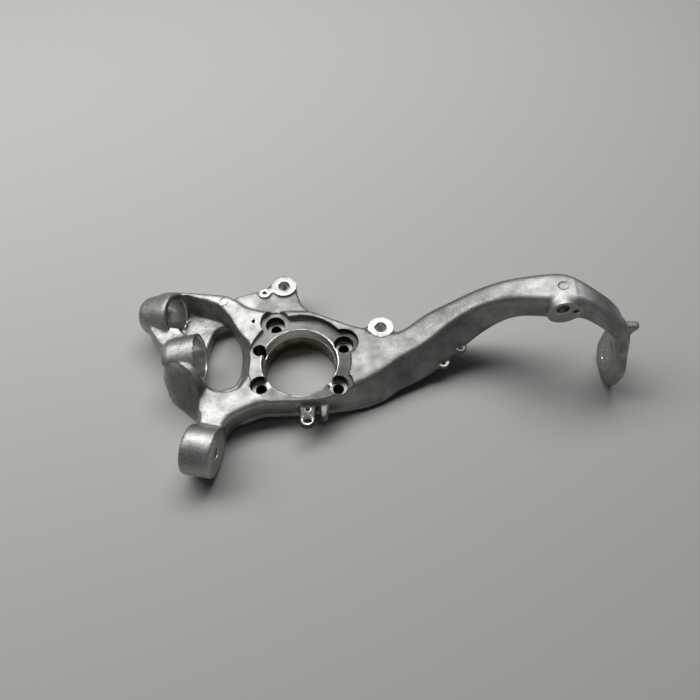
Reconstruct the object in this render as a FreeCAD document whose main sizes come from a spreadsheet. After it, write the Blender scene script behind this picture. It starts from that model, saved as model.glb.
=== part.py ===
import FreeCAD, Part
import math
import os

import Sketcher

# Front steering knuckle, one aluminium casting with a gooseneck arm.
# Millimetres. The origin is the centre of the hub bore on the outboard face.
# +Z is the wheel axis, pointing inboard; +X runs up the arm to the upper ball joint;
# +Y points to the side of the brake caliper. The part lies on its outboard face at Z = 0.

App = FreeCAD
Vector = App.Vector

# Driving dimensions: alias, value, what it is.
SIZES = (
    ("plate_top", 43.5, "height of the cast inboard face over the bore's centre"),
    ("top_tilt", 4.4, "tilt of the cast inboard face, higher on the caliper side"),
    ("blank_height", 54.0, "height of the hub body before its inboard face is trimmed"),
    ("skin_lift", 2.0, "the cast outboard skin stands this far behind the machined hub face"),
    ("edge_round", 5.0, "rounding of the cast top edges of the hub body"),
    ("plate_right", 84.0, "where the hub body ends inside the arm"),
    ("near_side", -55.0, "cast wall of the hub on the side away from the caliper"),
    ("far_side", 72.0, "cast wall of the hub on the caliper side"),
    ("bore_diameter", 92.0, "hub bore at its seat"),
    ("bore_step_diameter", 88.0, "hub bore outboard of its step"),
    ("bore_step_height", 27.0, "height of the step in the hub bore"),
    ("bore_chamfer", 1.2, "chamfer at the mouth of the hub bore"),
    ("seat_height", 39.0, "machined seat round the hub bore"),
    ("recess_diameter", 127.0, "machined recess round the hub bore"),
    ("face_width", 136.0, "machined outboard face round the hub bore"),
    ("face_height", 6.0, "thickness of the machined outboard face's ring"),
    ("bolt_hole_diameter", 13.0, "bearing bolt holes"),
    ("bolt_sink_diameter", 24.0, "counterbores of the bearing bolts"),
    ("bolt_sink_height", 27.0, "floor of the counterbores"),
    ("bolt_one_x", 54.0, "bearing bolt by the arm, caliper side"),
    ("bolt_one_y", 25.0, "bearing bolt by the arm, caliper side"),
    ("bolt_two_x", -33.0, "bearing bolt by the lower end, caliper side"),
    ("bolt_two_y", 54.0, "bearing bolt by the lower end, caliper side"),
    ("bolt_three_x", -45.5, "bearing bolt by the lower end, near side"),
    ("bolt_three_y", -33.0, "bearing bolt by the lower end, near side"),
    ("bolt_four_x", 48.0, "bearing bolt by the arm, near side"),
    ("bolt_four_y", -32.0, "bearing bolt by the arm, near side"),
    ("lobe_diameter", 36.0, "recess lobes round the bolts beside the arm and on the caliper side"),
    ("sensor_slot_x", -50.4, "wheel speed sensor slot"),
    ("sensor_slot_y", 16.1, "wheel speed sensor slot"),
    ("sensor_slot_diameter", 15.5, "width of the sensor slot"),
    ("sensor_slot_floor", 12.0, "floor of the sensor slot"),
    ("screw_x", -59.7, "sensor screw hole"),
    ("screw_y", 54.5, "sensor screw hole"),
    ("screw_diameter", 5.0, "sensor screw hole"),
    ("screw_depth", 14.0, "sensor screw hole"),
    ("web_top", 18.0, "floor of the pocket between the hub and the lower end"),
    ("rim_height", 46.0, "height at which the pocket's rim is drawn"),
    ("ear_top", 44.0, "machined faces of the caliper ears"),
    ("ear_floor", 20.0, "underside of the caliper ears"),
    ("ear_terrace", 41.0, "cast face of the ear plate, below the machined rings"),
    ("ear_diameter", 33.2, "machined ring of a caliper ear"),
    ("ear_hole_diameter", 15.0, "caliper bolt holes"),
    ("ear_upper_x", 100.6, "caliper ear on the arm"),
    ("ear_upper_y", 47.7, "caliper ear on the arm"),
    ("ear_lower_x", -25.3, "caliper ear on the hub"),
    ("ear_lower_y", 114.0, "caliper ear on the hub"),
    ("small_ear_x", -50.0, "small ear beside the lower caliper ear"),
    ("small_ear_y", 102.6, "small ear beside the lower caliper ear"),
    ("small_ear_diameter", 16.0, "small ear"),
    ("small_ear_hole_diameter", 5.0, "small ear's hole"),
    ("ear_neck_width", 9.0, "machined neck between the two lower ears"),
    ("rear_cup_x", -158.7, "mouth centre of the rear lower ball joint cup"),
    ("rear_cup_y", 67.6, "mouth centre of the rear lower ball joint cup"),
    ("rear_cup_z", 40.0, "mouth centre of the rear lower ball joint cup"),
    ("rear_cup_length", 47.0, "rear cup along its axis"),
    ("rear_cup_diameter", 62.0, "outside of the rear cup at its mouth"),
    ("rear_cup_end_diameter", 47.0, "outside of the rear cup at its closed end"),
    ("rear_cup_bore", 46.0, "bore of the rear cup"),
    ("rear_cup_depth", 32.0, "depth of the rear cup's bore"),
    ("rear_cup_turn", -9.0, "rear cup's axis, turned about the wheel axis from +X"),
    ("rear_cup_rise", 13.0, "rear cup's axis, raised from the plane of the hub"),
    ("front_cup_x", -119.8, "mouth centre of the front lower ball joint cup"),
    ("front_cup_y", 2.6, "mouth centre of the front lower ball joint cup"),
    ("front_cup_z", 44.0, "mouth centre of the front lower ball joint cup"),
    ("front_cup_length", 44.0, "front cup along its axis"),
    ("front_cup_diameter", 60.0, "outside of the front cup at its mouth"),
    ("front_cup_end_diameter", 54.0, "outside of the front cup at its closed end"),
    ("front_cup_bore", 50.0, "bore of the front cup"),
    ("front_cup_depth", 30.0, "depth of the front cup's bore"),
    ("front_cup_turn", 5.0, "front cup's axis, turned about the wheel axis from +X"),
    ("front_cup_rise", 7.0, "front cup's axis, raised from the plane of the hub"),
    ("cup_nose_round", 12.0, "rounding of the cups' closed ends"),
    ("cup_chamfer", 1.5, "chamfer at the mouths of the cups"),
    ("cup_room", 36.0, "clear room in front of the mouths of the cups"),
    ("cup_slack", 0.4, "clear room round what goes into the cups"),
    ("stud_hole_diameter", 20.0, "ball stud holes through the closed ends of the cups"),
    ("oval_x", -133.7, "flat oval face under the front cup, its middle"),
    ("oval_y", -40.1, "flat oval face under the front cup, its middle"),
    ("oval_z", 33.0, "flat oval face under the front cup, its middle"),
    ("oval_turn", -128.4, "direction that the oval face looks in, about the wheel axis from +X"),
    ("oval_rise", 23.6, "angle by which the oval face looks up"),
    ("oval_depth", 24.0, "thickness of the wall behind the oval face"),
    ("ledge_top", 8.0, "top of the thin ledge along the foot of the near wall"),
    ("tie_rod_x", -106.5, "middle of the tie rod lug"),
    ("tie_rod_y", -113.0, "middle of the tie rod lug"),
    ("tie_rod_turn", -10.0, "tie rod hole's axis, turned about the wheel axis from +X"),
    ("tie_rod_width", 37.0, "tie rod lug along its hole"),
    ("tie_rod_diameter", 59.0, "outside of the tie rod lug"),
    ("tie_rod_hole_diameter", 13.0, "tie rod hole"),
    ("tie_rod_face_diameter", 34.0, "machined face round the tie rod hole"),
    ("tie_rod_face_depth", 0.8, "depth of the machined face below the casting"),
    ("section_round", 7.0, "rounding of the long edges of the arm"),
    ("lug_inner_x", 381.5, "machined face of the upper ball joint lug"),
    ("lug_outer_x", 393.0, "outer face of the upper ball joint lug"),
    ("lug_hole_y", 20.0, "upper ball joint hole"),
    ("lug_hole_z", 25.0, "upper ball joint hole"),
    ("lug_hole_diameter", 20.0, "upper ball joint hole"),
    ("lug_face_diameter", 40.0, "machined face round the upper ball joint hole"),
    ("lug_face_depth", 1.0, "depth of the machined face below the casting"),
    ("fin_y", 12.0, "near side of the fin on the back of the bend"),
    ("fin_width", 10.0, "fin on the back of the bend"),
    ("fin_top", 95.0, "top of the fin"),
    ("pad_x", 308.5, "round pad on the near side of the arm"),
    ("pad_z", 106.0, "round pad on the near side of the arm"),
    ("pad_y", 24.0, "machined face of the round pad"),
    ("pad_diameter", 39.0, "round pad"),
    ("pad_height", 10.0, "round pad, from its face into the arm"),
    ("pad_hole_diameter", 14.5, "large hole in the pad"),
    ("pad_pin_diameter", 7.0, "small hole in the pad"),
    ("pad_hole_depth", 26.0, "depth of the pad's holes"),
    ("tab_x", 12.0, "bracket tab on the near side of the hub"),
    ("tab_end_y", -74.0, "centre of the bracket tab's round end"),
    ("tab_width", 20.0, "bracket tab"),
    ("tab_top", 30.0, "machined top of the bracket tab"),
    ("tab_thickness", 9.0, "bracket tab"),
    ("tab_hole_diameter", 12.0, "threaded hole in the bracket tab"),
    ("tab_pin_diameter", 6.0, "locating hole in the bracket tab"),
    ("tab_hole_pitch", 14.0, "between the holes of the bracket tab"),
    ("rib_depth", 13.0, "height of the stop rib beside the bracket tab"),
    ("rib_width", 8.0, "stop rib beside the bracket tab"),
    ("clip_diameter", 15.0, "clip bosses under the arm"),
    ("clip_height", 9.0, "clip bosses under the arm"),
    ("clip_hole_diameter", 5.0, "holes of the clip bosses"),
)

# Arm stations from inside the hub to the drop behind the upper ball joint.
# Each gives the top line (x, z), the depth of the section square to it, four widths
# (far and near edges of the top face, near and far edges of the underside)
# and the roll, the height of the far edge of the top face over its near edge.
STATIONS = (
    (36.0, 42.8, 40.0, 52.0, -49.0, -50.5, 50.0, 7.8),
    (58.0, 43.6, 40.5, 48.0, -39.5, -50.0, 46.0, 6.7),
    (76.0, 44.3, 40.5, 44.0, -29.5, -47.0, 42.0, 5.4),
    (98.0, 45.0, 41.0, 42.5, -17.0, -41.0, 40.0, 3.0),
    (122.0, 47.0, 44.0, 43.5, 1.0, -28.0, 38.0, 1.0),
    (150.0, 54.5, 48.0, 60.5, 15.0, -7.0, 52.0, 0.0),
    (182.0, 69.0, 48.0, 72.0, 35.0, 20.0, 62.0, 0.0),
    (216.0, 88.0, 46.5, 79.0, 46.5, 40.0, 68.0, 0.0),
    (250.0, 105.0, 44.0, 80.5, 44.5, 45.0, 70.0, 0.0),
    (285.0, 119.0, 41.0, 76.5, 33.0, 34.0, 67.0, 0.0),
    (315.0, 126.0, 36.0, 70.5, 28.0, 25.0, 62.0, 0.0),
    (341.0, 124.5, 29.0, 52.0, 20.0, 17.0, 50.0, 0.0),
    (361.0, 116.0, 23.0, 42.0, 9.0, 5.0, 41.0, 0.0),
    (376.0, 101.0, 19.0, 39.0, 5.0, 0.0, 39.0, 0.0),
    (386.5, 82.0, 16.0, 42.0, 3.0, -3.0, 42.0, 0.0),
    (392.0, 60.0, 14.0, 46.0, -6.0, -8.0, 46.0, 0.0),
)

# Clip bosses under the arm: name, centre and height of the top.
CLIPS = (
    ("lower_clip", (179.0, 9.0), 24.0),
    ("upper_clip", (200.0, 24.0), 36.0),
)

doc = FreeCAD.newDocument("steering_knuckle")
sheet = doc.addObject("Spreadsheet::Sheet", "sizes")
for row, (alias, value, note) in enumerate(SIZES, 1):
    sheet.set("A%d" % row, alias)
    sheet.set("B%d" % row, str(value))
    sheet.set("C%d" % row, note)
    sheet.setAlias("B%d" % row, alias)
doc.recompute()


def size(alias):
    """Value of one driving dimension."""
    return float(getattr(sheet, alias))


body = doc.addObject("PartDesign::Body", "knuckle")
body.Label = "knuckle"


def base_plane():
    """The body's own XY plane."""
    for feature in body.Origin.OriginFeatures:
        if feature.Role == "XY_Plane":
            return feature
    raise RuntimeError("the body has no XY plane")


def new_sketch(name, origin, across, up):
    """Empty sketch through origin, whose plane holds the directions across and up."""
    sketch = body.newObject("Sketcher::SketchObject", name)
    sketch.AttachmentSupport = (base_plane(), [""])
    sketch.MapMode = "FlatFace"
    turn = App.Rotation(across, up, across.cross(up), "ZXY")
    sketch.AttachmentOffset = App.Placement(origin, turn)
    return sketch


def plan_sketch(name, height):
    """Empty sketch parallel to the hub face at a height, an expression of sheet cells."""
    sketch = new_sketch(name, Vector(0, 0, 0), Vector(1, 0, 0), Vector(0, 1, 0))
    sketch.setExpression("AttachmentOffset.Base.z", height)
    return sketch


def side_sketch(name, x):
    """Empty sketch square to the arm at a cell's X, its own axes along Y and Z."""
    sketch = new_sketch(name, Vector(size(x), 0, 0), Vector(0, 1, 0), Vector(0, 0, 1))
    sketch.setExpression("AttachmentOffset.Base.x", cell(x))
    return sketch


def long_sketch(name, y):
    """Empty sketch along the arm at a cell's Y, its own axes along X and Z."""
    sketch = new_sketch(name, Vector(0, size(y), 0), Vector(1, 0, 0), Vector(0, 0, 1))
    sketch.setExpression("AttachmentOffset.Base.y", cell(y))
    return sketch


def cell(alias):
    """Expression that reads one cell."""
    return "<<sizes>>." + alias


def circle(sketch, diameter, x=None, y=None):
    """Circle bound to cells: its diameter and, away from the origin, its centre."""
    centre = Vector(size(x) if x else 0, size(y) if y else 0, 0)
    index = sketch.addGeometry(Part.Circle(centre, Vector(0, 0, 1), size(diameter) / 2))
    number = sketch.addConstraint(Sketcher.Constraint("Diameter", index, size(diameter)))
    sketch.setExpression("Constraints[%d]" % number, cell(diameter))
    if x is None:
        sketch.addConstraint(Sketcher.Constraint("Coincident", index, 3, -1, 1))
        return
    for kind, alias in (("DistanceX", x), ("DistanceY", y)):
        number = sketch.addConstraint(Sketcher.Constraint(kind, -1, 1, index, 3, size(alias)))
        sketch.setExpression("Constraints[%d]" % number, cell(alias))


def free_circle(sketch, centre, diameter):
    """Circle at a worked-out centre, its diameter bound to a cell."""
    index = sketch.addGeometry(Part.Circle(Vector(*centre, 0), Vector(0, 0, 1), size(diameter) / 2))
    number = sketch.addConstraint(Sketcher.Constraint("Diameter", index, size(diameter)))
    sketch.setExpression("Constraints[%d]" % number, cell(diameter))


def outline(sketch, corners, flats=0):
    """Closed run of straight sides; a corner is (x, y, radius), turned by an arc or by flats."""
    points = [Vector(x, y, 0) for x, y, radius in corners]
    count = len(points)
    cuts = []
    for i, (x, y, radius) in enumerate(corners):
        back = points[i - 1] - points[i]
        ahead = points[(i + 1) % count] - points[i]
        half = back.getAngle(ahead) / 2
        room = 0.48 * min(back.Length, ahead.Length)
        reach = min(radius / math.tan(half), room) if radius else 0
        cuts.append((back.normalize(), ahead.normalize(), half, reach))
    for i, (back, ahead, half, reach) in enumerate(cuts):
        start = points[i] + back * reach
        end = points[i] + ahead * reach
        if reach:
            bisector = (back + ahead).normalize()
            radius = reach * math.tan(half)
            centre = points[i] + bisector * (radius / math.sin(half))
            if flats:
                turn_between(sketch, centre, start, end, math.pi - 2 * half, flats)
            else:
                sketch.addGeometry(Part.Arc(start, centre - bisector * radius, end))
        following = (i + 1) % count
        leave = points[following] + cuts[following][0] * cuts[following][3]
        sketch.addGeometry(Part.LineSegment(end, leave))


def turn_between(sketch, centre, start, end, swing, flats):
    """Row of equal flats with their ends on the arc from start to end."""
    row = [start]
    for step in range(1, flats):
        share = step / flats
        spoke = (start - centre) * math.sin((1 - share) * swing)
        spoke += (end - centre) * math.sin(share * swing)
        row.append(centre + spoke * (1 / math.sin(swing)))
    row.append(end)
    for one, two in zip(row, row[1:]):
        sketch.addGeometry(Part.LineSegment(one, two))


def pad(name, sketch, length, reverse=False):
    """Material from a sketch, along its normal unless reversed."""
    feature = body.newObject("PartDesign::Pad", name)
    feature.Refine = False
    feature.Profile = sketch
    feature.Reversed = reverse
    feature.setExpression("Length", length)
    return feature


def pocket(name, sketch, length, reverse=False):
    """Cut from a sketch, against its normal unless reversed."""
    feature = body.newObject("PartDesign::Pocket", name)
    feature.Refine = False
    feature.Profile = sketch
    feature.Reversed = reverse
    feature.setExpression("Length", length)
    return feature


def revolve(name, sketch, kind="PartDesign::Revolution"):
    """Full turn about the sketch's own horizontal axis."""
    feature = body.newObject(kind, name)
    feature.Refine = False
    feature.Profile = sketch
    feature.ReferenceAxis = (sketch, ["H_Axis"])
    feature.Angle = 360
    return feature


def loft(name, sketches, kind="PartDesign::AdditiveLoft"):
    """Skin through a row of sections."""
    feature = body.newObject(kind, name)
    feature.Refine = False
    feature.Profile = sketches[0]
    feature.Sections = sketches[1:]
    feature.Ruled = False
    return feature


def round_edges(name, base, radius, chosen):
    """Fillet on the edges of a feature that the test picks."""
    doc.recompute()
    picked = ["Edge%d" % (i + 1) for i, edge in enumerate(base.Shape.Edges) if chosen(edge)]
    feature = body.newObject("PartDesign::Fillet", name)
    feature.Refine = False
    feature.Base = (base, picked)
    feature.setExpression("Radius", cell(radius))
    return feature


def hub_body():
    """Flat cast body from the arm's root to the lower end, trimmed to its tilted inboard face."""
    near = size("near_side")
    far = size("far_side")
    right = size("plate_right")
    sketch = plan_sketch("hub_outline", cell("skin_lift"))
    outline(sketch, (
        (right, near + 33, 4),
        (right, far - 27, 4),
        (60, far - 20, 40),
        (12, far, 30),
        (-49, far - 1, 20),
        (-71, far + 5, 20),
        (-95, far + 23, 30),
        (-150, far + 28, 20),
        (-182, far + 29, 20),
        (-201, far + 8, 20),
        (-204, far - 10, 8),
        (-178, 24, 12),
        (-157, 0, 12),
        (-141, near + 43, 15),
        (-128, near + 25, 30),
        (-118, near + 4, 30),
        (-112, near - 22, 30),
        (-118, near - 38, 8),
        (-119, near - 58, 4),
        (-92, near - 58, 4),
        (-92, near - 46, 10),
        (-78, near - 18, 25),
        (-44, near - 2, 40),
        (-10, near - 1, 60),
        (34, near + 2, 40),
    ))
    pad("hub_plate", sketch, cell("blank_height") + " - " + cell("skin_lift"))

    tilt = math.radians(size("top_tilt"))
    across = Vector(1, 0, 0)
    up = Vector(0, math.cos(tilt), math.sin(tilt))
    normal = across.cross(up)
    centre = Vector(0, 0, size("plate_top"))
    sketch = new_sketch("top_trim_outline", centre, across, up)
    sketch.setExpression("AttachmentOffset.Base.z", cell("plate_top"))
    outline(sketch, ((-260, -180, 0), (160, -180, 0), (160, 160, 0), (-260, 160, 0)))
    trim = pocket("top_trim", sketch, cell("blank_height"), reverse=True)
    return round_edges("hub_edges", trim, "edge_round", lambda edge: (
        max(abs((vertex.Point - centre).dot(normal)) for vertex in edge.Vertexes) < 0.01))


def lower_wall():
    """Sloping wall below the front cup, from the body's top edge out to its flange."""
    near = size("near_side")
    bottom = plan_sketch("wall_foot", cell("skin_lift"))
    outline(bottom, (
        (-132, 40, 6), (-180, 30, 8), (-176, near + 49, 20), (-164, near + 24, 30),
        (-149, near + 7, 15), (-128, near - 5, 8), (-117, near - 31, 6), (-95, near + 5, 6),
    ), 2)
    top = plan_sketch("wall_top", cell("plate_top") + " - " + cell("edge_round"))
    outline(top, (
        (-125, 34, 6), (-162, 12, 6), (-154, near + 52, 8), (-140, near + 42, 12),
        (-128, near + 25, 20), (-118, near + 4, 20), (-112, near - 25, 6), (-95, near + 10, 6),
    ), 2)
    loft("lower_wall", (bottom, top))


def oval_sketch(name):
    """Oval on the sloping plane under the front cup."""
    turn = math.radians(size("oval_turn"))
    rise = math.radians(size("oval_rise"))
    level = Vector(-math.sin(turn), math.cos(turn), 0)
    uphill = Vector(-math.sin(rise) * math.cos(turn), -math.sin(rise) * math.sin(turn), math.cos(rise))
    middle = Vector(size("oval_x"), size("oval_y"), size("oval_z"))
    sketch = new_sketch(name, middle, level, uphill)
    outline(sketch, (
        (-38, -14, 8), (-27, -32, 12), (-7, -37, 12), (10, -34, 12), (25, -29, 4), (22,
        4, 20), (12, 27, 20), (-5, 38, 14), (-25, 33, 14), (-41, 15, 8)
    ), 2)
    return sketch


def oval_wall():
    """Wall under the front cup with the flat oval face, cut off at the outboard skin."""
    pad("oval_wall", oval_sketch("oval_wall_outline"), cell("oval_depth"), reverse=True)
    sketch = plan_sketch("wall_trim_outline", cell("skin_lift"))
    outline(sketch, ((-200, -90, 0), (-80, -90, 0), (-80, 30, 0), (-200, 30, 0)))
    pocket("wall_trim", sketch, cell("oval_depth"))


def oval_face():
    """Trim of what stands in front of the oval face."""
    pocket("oval_face", oval_sketch("oval_face_outline"), cell("oval_depth"), reverse=True)


def near_ledge():
    """Thin ledge along the foot of the near wall."""
    near = size("near_side")
    sketch = plan_sketch("ledge_outline", cell("skin_lift"))
    outline(sketch, (
        (-70, near - 16, 0), (-44, near - 4.5, 30), (-10, near - 3.5, 60), (34, near, 60),
        (58, near + 3.5, 40), (84, near + 9.5, 40), (104, near + 18, 30), (121, near + 30, 0),
        (121, near + 37, 0), (84, near + 27, 0), (34, near + 10, 0),
        (-44, near + 5, 0), (-66, near - 5, 0),
    ))
    pad("near_ledge", sketch, cell("ledge_top") + " - " + cell("skin_lift"))


def pocket_and_window():
    """Deep pocket between the hub and the lower end, with the window through its web."""
    rim = (
        (-170, 88), (-150, 94), (-135, 87.5), (-106, 79), (-92, 63), (-76, 38), (-61, 23),
        (-56.5, 5), (-57, -18), (-66, -37), (-80, -43), (-101, -43), (-114, -30), (-126, 0),
        (-140, 38), (-166, 50),
    )
    floor = (
        (-165, 85), (-150, 89), (-136, 82), (-107, 73), (-95, 61), (-82, 38), (-74, 23),
        (-71, 5), (-71, -14), (-77, -30), (-86, -37), (-101, -38), (-112, -27), (-123, 0),
        (-138, 35), (-163, 52),
    )
    rounds = (6, 6, 20, 20, 30, 10, 8, 25, 20, 10, 10, 15, 20, 20, 15, 8)
    blank = size("blank_height")
    web = size("web_top")
    spread = (blank - web) / (size("rim_height") - web)
    mouth = [(low[0] + spread * (high[0] - low[0]), low[1] + spread * (high[1] - low[1]))
             for high, low in zip(rim, floor)]
    lower = plan_sketch("pocket_floor", cell("web_top"))
    outline(lower, [(*point, radius) for point, radius in zip(floor, rounds)], 2)
    upper = plan_sketch("pocket_mouth", cell("blank_height"))
    outline(upper, [(*point, radius) for point, radius in zip(mouth, rounds)], 2)
    loft("end_pocket", (lower, upper), "PartDesign::SubtractiveLoft")

    window = plan_sketch("window_outline", cell("web_top") + " + 1")
    outline(window, (
        (-120, 36, 20), (-115, 60, 16), (-97, 69, 12), (-82, 50, 25), (-75, 20, 40),
        (-75, -5, 20), (-80, -22, 14), (-98, -29, 14), (-116, -20, 14), (-121, 5, 40),
    ))
    pocket("window", window, cell("web_top") + " + 2")


def ear_plate():
    """Plate that carries the lower caliper ear and the small ear."""
    x = size("ear_lower_x")
    y = size("ear_lower_y")
    small_x = size("small_ear_x")
    small_y = size("small_ear_y")
    far = size("far_side")
    sketch = plan_sketch("ear_plate_outline", cell("ear_floor"))
    outline(sketch, (
        (x + 14, y + 1, 14),
        (x + 2, y + 16, 14),
        (x - 12, y + 12, 10),
        (small_x, small_y + 9, 5),
        (small_x - 10, small_y + 5, 5),
        (-96, far + 23, 8),
        (-72, far - 8, 8),
        (0, far - 14, 8),
        (30, far - 12, 8),
        (x + 25, y - 30, 18),
    ))
    pad("ear_plate", sketch, cell("ear_terrace") + " - " + cell("ear_floor"))


def caliper_ears():
    """Machined rings of the two caliper ears and the small ear."""
    for name, diameter, x, y in (
        ("lower_ear", "ear_diameter", "ear_lower_x", "ear_lower_y"),
        ("small_ear", "small_ear_diameter", "small_ear_x", "small_ear_y"),
        ("upper_ear", "ear_diameter", "ear_upper_x", "ear_upper_y"),
    ):
        sketch = plan_sketch(name + "_ring", cell("ear_floor"))
        circle(sketch, diameter, x, y)
        pad(name, sketch, cell("ear_top") + " - " + cell("ear_floor"))
    one = Vector(size("small_ear_x"), size("small_ear_y"), 0)
    two = Vector(size("ear_lower_x"), size("ear_lower_y"), 0)
    side = Vector(one.y - two.y, two.x - one.x, 0).normalize() * (size("ear_neck_width") / 2)
    sketch = plan_sketch("lower_ear_neck_outline", cell("ear_floor"))
    outline(sketch, [(end.x, end.y, 0) for end in (one + side, one - side, two - side, two + side)])
    pad("lower_ear_neck", sketch, cell("ear_top") + " - " + cell("ear_floor"))
    x = size("ear_upper_x")
    y = size("ear_upper_y")
    sketch = plan_sketch("upper_ear_neck_outline", cell("ear_floor"))
    outline(sketch, ((x - 18, y - 24, 0), (x + 22, y - 18, 0), (x + 15, y + 5, 3),
                     (x - 14, y + 4, 3), (x - 34, y, 0)))
    pad("upper_ear_neck", sketch, cell("ear_terrace") + " - " + cell("ear_floor"))


def cup(name):
    """Mouth centre, axis and upward direction of one ball joint cup."""
    mouth = Vector(size(name + "_x"), size(name + "_y"), size(name + "_z"))
    turn = math.radians(size(name + "_turn"))
    rise = math.radians(size(name + "_rise"))
    flat = Vector(math.cos(turn), math.sin(turn), 0)
    axis = flat * math.cos(rise) + Vector(0, 0, math.sin(rise))
    outer = Vector(0, 0, 1) - axis * axis.z
    return mouth, axis, outer.normalize()


def cup_body(name):
    """Tapered outside of one cup with its rounded closed end."""
    mouth, axis, outer = cup(name)
    length = size(name + "_length")
    radius = size(name + "_diameter") / 2
    end_radius = size(name + "_end_diameter") / 2
    nose = min(size("cup_nose_round"), end_radius * 0.8)
    sketch = new_sketch(name + "_profile", mouth, axis, outer)
    outline(sketch, ((0, 0, 0), (0, radius, 0), (-length, end_radius, nose), (-length, 0, 0)), 2)
    revolve(name, sketch)


def cup_bore(name):
    """Bore, mouth chamfer and stud hole of one cup, and the room in front of its mouth."""
    mouth, axis, outer = cup(name)
    past = size(name + "_length") + 10
    radius = size(name + "_bore") / 2
    depth = size(name + "_depth")
    chamfer = size("cup_chamfer")
    stud = size("stud_hole_diameter") / 2
    room = size("cup_room")
    slack = size("cup_slack")
    sketch = new_sketch(name + "_bore_profile", mouth, axis, outer)
    corners = (
        Vector(-past, 0, 0), Vector(-past, stud, 0), Vector(-depth, stud, 0),
        Vector(-depth, radius, 0), Vector(-chamfer, radius, 0), Vector(0, radius + chamfer, 0),
        Vector(0, radius + slack, 0), Vector(room, radius + slack, 0), Vector(room, 0, 0),
    )
    for start, end in zip(corners, corners[1:] + corners[:1]):
        sketch.addGeometry(Part.LineSegment(start, end))
    revolve(name + "_cut", sketch, "PartDesign::Groove")


def tie_rod_frame():
    """Middle of the tie rod lug's arm side face, the hole's axis and the level across it."""
    turn = math.radians(size("tie_rod_turn"))
    axis = Vector(math.cos(turn), math.sin(turn), 0)
    centre = Vector(size("tie_rod_x"), size("tie_rod_y"), size("tie_rod_diameter") / 2)
    return centre + axis * (size("tie_rod_width") / 2), axis, Vector(-axis.y, axis.x, 0)


def tie_rod_lug():
    """Round lug of the tie rod, its hole square to the wheel axis."""
    face, axis, level = tie_rod_frame()
    radius = size("tie_rod_diameter") / 2
    width = size("tie_rod_width")
    sketch = new_sketch("tie_rod_profile", face, -axis, Vector(0, 0, 1))
    outline(sketch, ((0, 0, 0), (0, radius, 0), (width, radius, size("edge_round")), (width, 0, 0)), 2)
    revolve("tie_rod_lug", sketch)


def bracket_tab():
    """Bracket tab with a round end, and the stop rib beside it, on the near wall of the hub."""
    half = size("tab_width") / 2
    x = size("tab_x")
    end = size("tab_end_y")
    root = size("near_side") + 8
    sketch = plan_sketch("tab_outline", cell("tab_top"))
    wall = size("near_side")
    outline(sketch, ((x - half, end - half, half), (x + half, end - half, half),
                     (x + half, wall - 4, 6), (x + half + 6, root, 0),
                     (x - half - 8, root, 0), (x - half, wall - 4, 6)))
    pad("bracket_tab", sketch, cell("tab_thickness"), reverse=True)
    sketch = plan_sketch("rib_outline", cell("tab_top"))
    side = x + half + 5
    width = size("rib_width")
    outline(sketch, ((side - 1, root, 0), (side, end + 2, 3), (side + width, end + 2, 3),
                     (side + width + 4, root, 0)))
    pad("bracket_rib", sketch, cell("rib_depth"), reverse=True)


def face_ring():
    """Machined outboard face round the bore, proud of the cast skin, flat on the near side."""
    half = size("face_width") / 2
    near = size("near_side")
    sketch = plan_sketch("face_outline", "0")
    outline(sketch, (
        (-half, near + 1, 6), (40, near + 4, 20), (half, near + 12, 10),
        (half, half, half), (-half, half, half),
    ))
    pad("face_ring", sketch, cell("face_height"))


def hub_machining():
    """Seat recess, bearing bolt holes, stepped bore, sensor slot and its screw hole."""
    bolts = ("bolt_one", "bolt_two", "bolt_three", "bolt_four")
    blank = cell("blank_height")
    sketch = plan_sketch("recess_outline", blank)
    circle(sketch, "recess_diameter")
    pocket("recess", sketch, blank + " - " + cell("seat_height"))
    for bolt in ("bolt_one", "bolt_two", "bolt_four"):
        sketch = plan_sketch(bolt + "_lobe_outline", blank)
        circle(sketch, "lobe_diameter", bolt + "_x", bolt + "_y")
        pocket(bolt + "_lobe", sketch, blank + " - " + cell("seat_height"))
    sketch = plan_sketch("bolt_sink_outlines", blank)
    for bolt in bolts:
        circle(sketch, "bolt_sink_diameter", bolt + "_x", bolt + "_y")
    pocket("bolt_sinks", sketch, blank + " - " + cell("bolt_sink_height"))
    sketch = plan_sketch("bolt_hole_outlines", blank)
    for bolt in bolts:
        circle(sketch, "bolt_hole_diameter", bolt + "_x", bolt + "_y")
    pocket("bolt_holes", sketch, blank + " + 1")

    sketch = new_sketch("bore_profile", Vector(0, 0, 0), Vector(0, 0, 1), Vector(1, 0, 0))
    radius = size("bore_diameter") / 2
    step = size("bore_step_diameter") / 2
    seat = size("seat_height")
    chamfer = size("bore_chamfer")
    rise = size("bore_step_height")
    top = size("blank_height")
    corners = (
        Vector(-1, 0, 0), Vector(-1, step, 0), Vector(rise, step, 0), Vector(rise, radius, 0),
        Vector(seat - chamfer, radius, 0), Vector(seat, radius + chamfer, 0),
        Vector(top, radius + chamfer, 0), Vector(top, 0, 0),
    )
    for start, end in zip(corners, corners[1:] + corners[:1]):
        sketch.addGeometry(Part.LineSegment(start, end))
    revolve("hub_bore", sketch, "PartDesign::Groove")

    sketch = plan_sketch("sensor_outline", blank)
    circle(sketch, "sensor_slot_diameter", "sensor_slot_x", "sensor_slot_y")
    pocket("sensor_slot", sketch, blank + " - " + cell("sensor_slot_floor"))
    sketch = plan_sketch("screw_outline", blank)
    circle(sketch, "screw_diameter", "screw_x", "screw_y")
    pocket("screw_hole", sketch, blank + " - " + cell("plate_top") + " + " + cell("screw_depth"))


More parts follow.
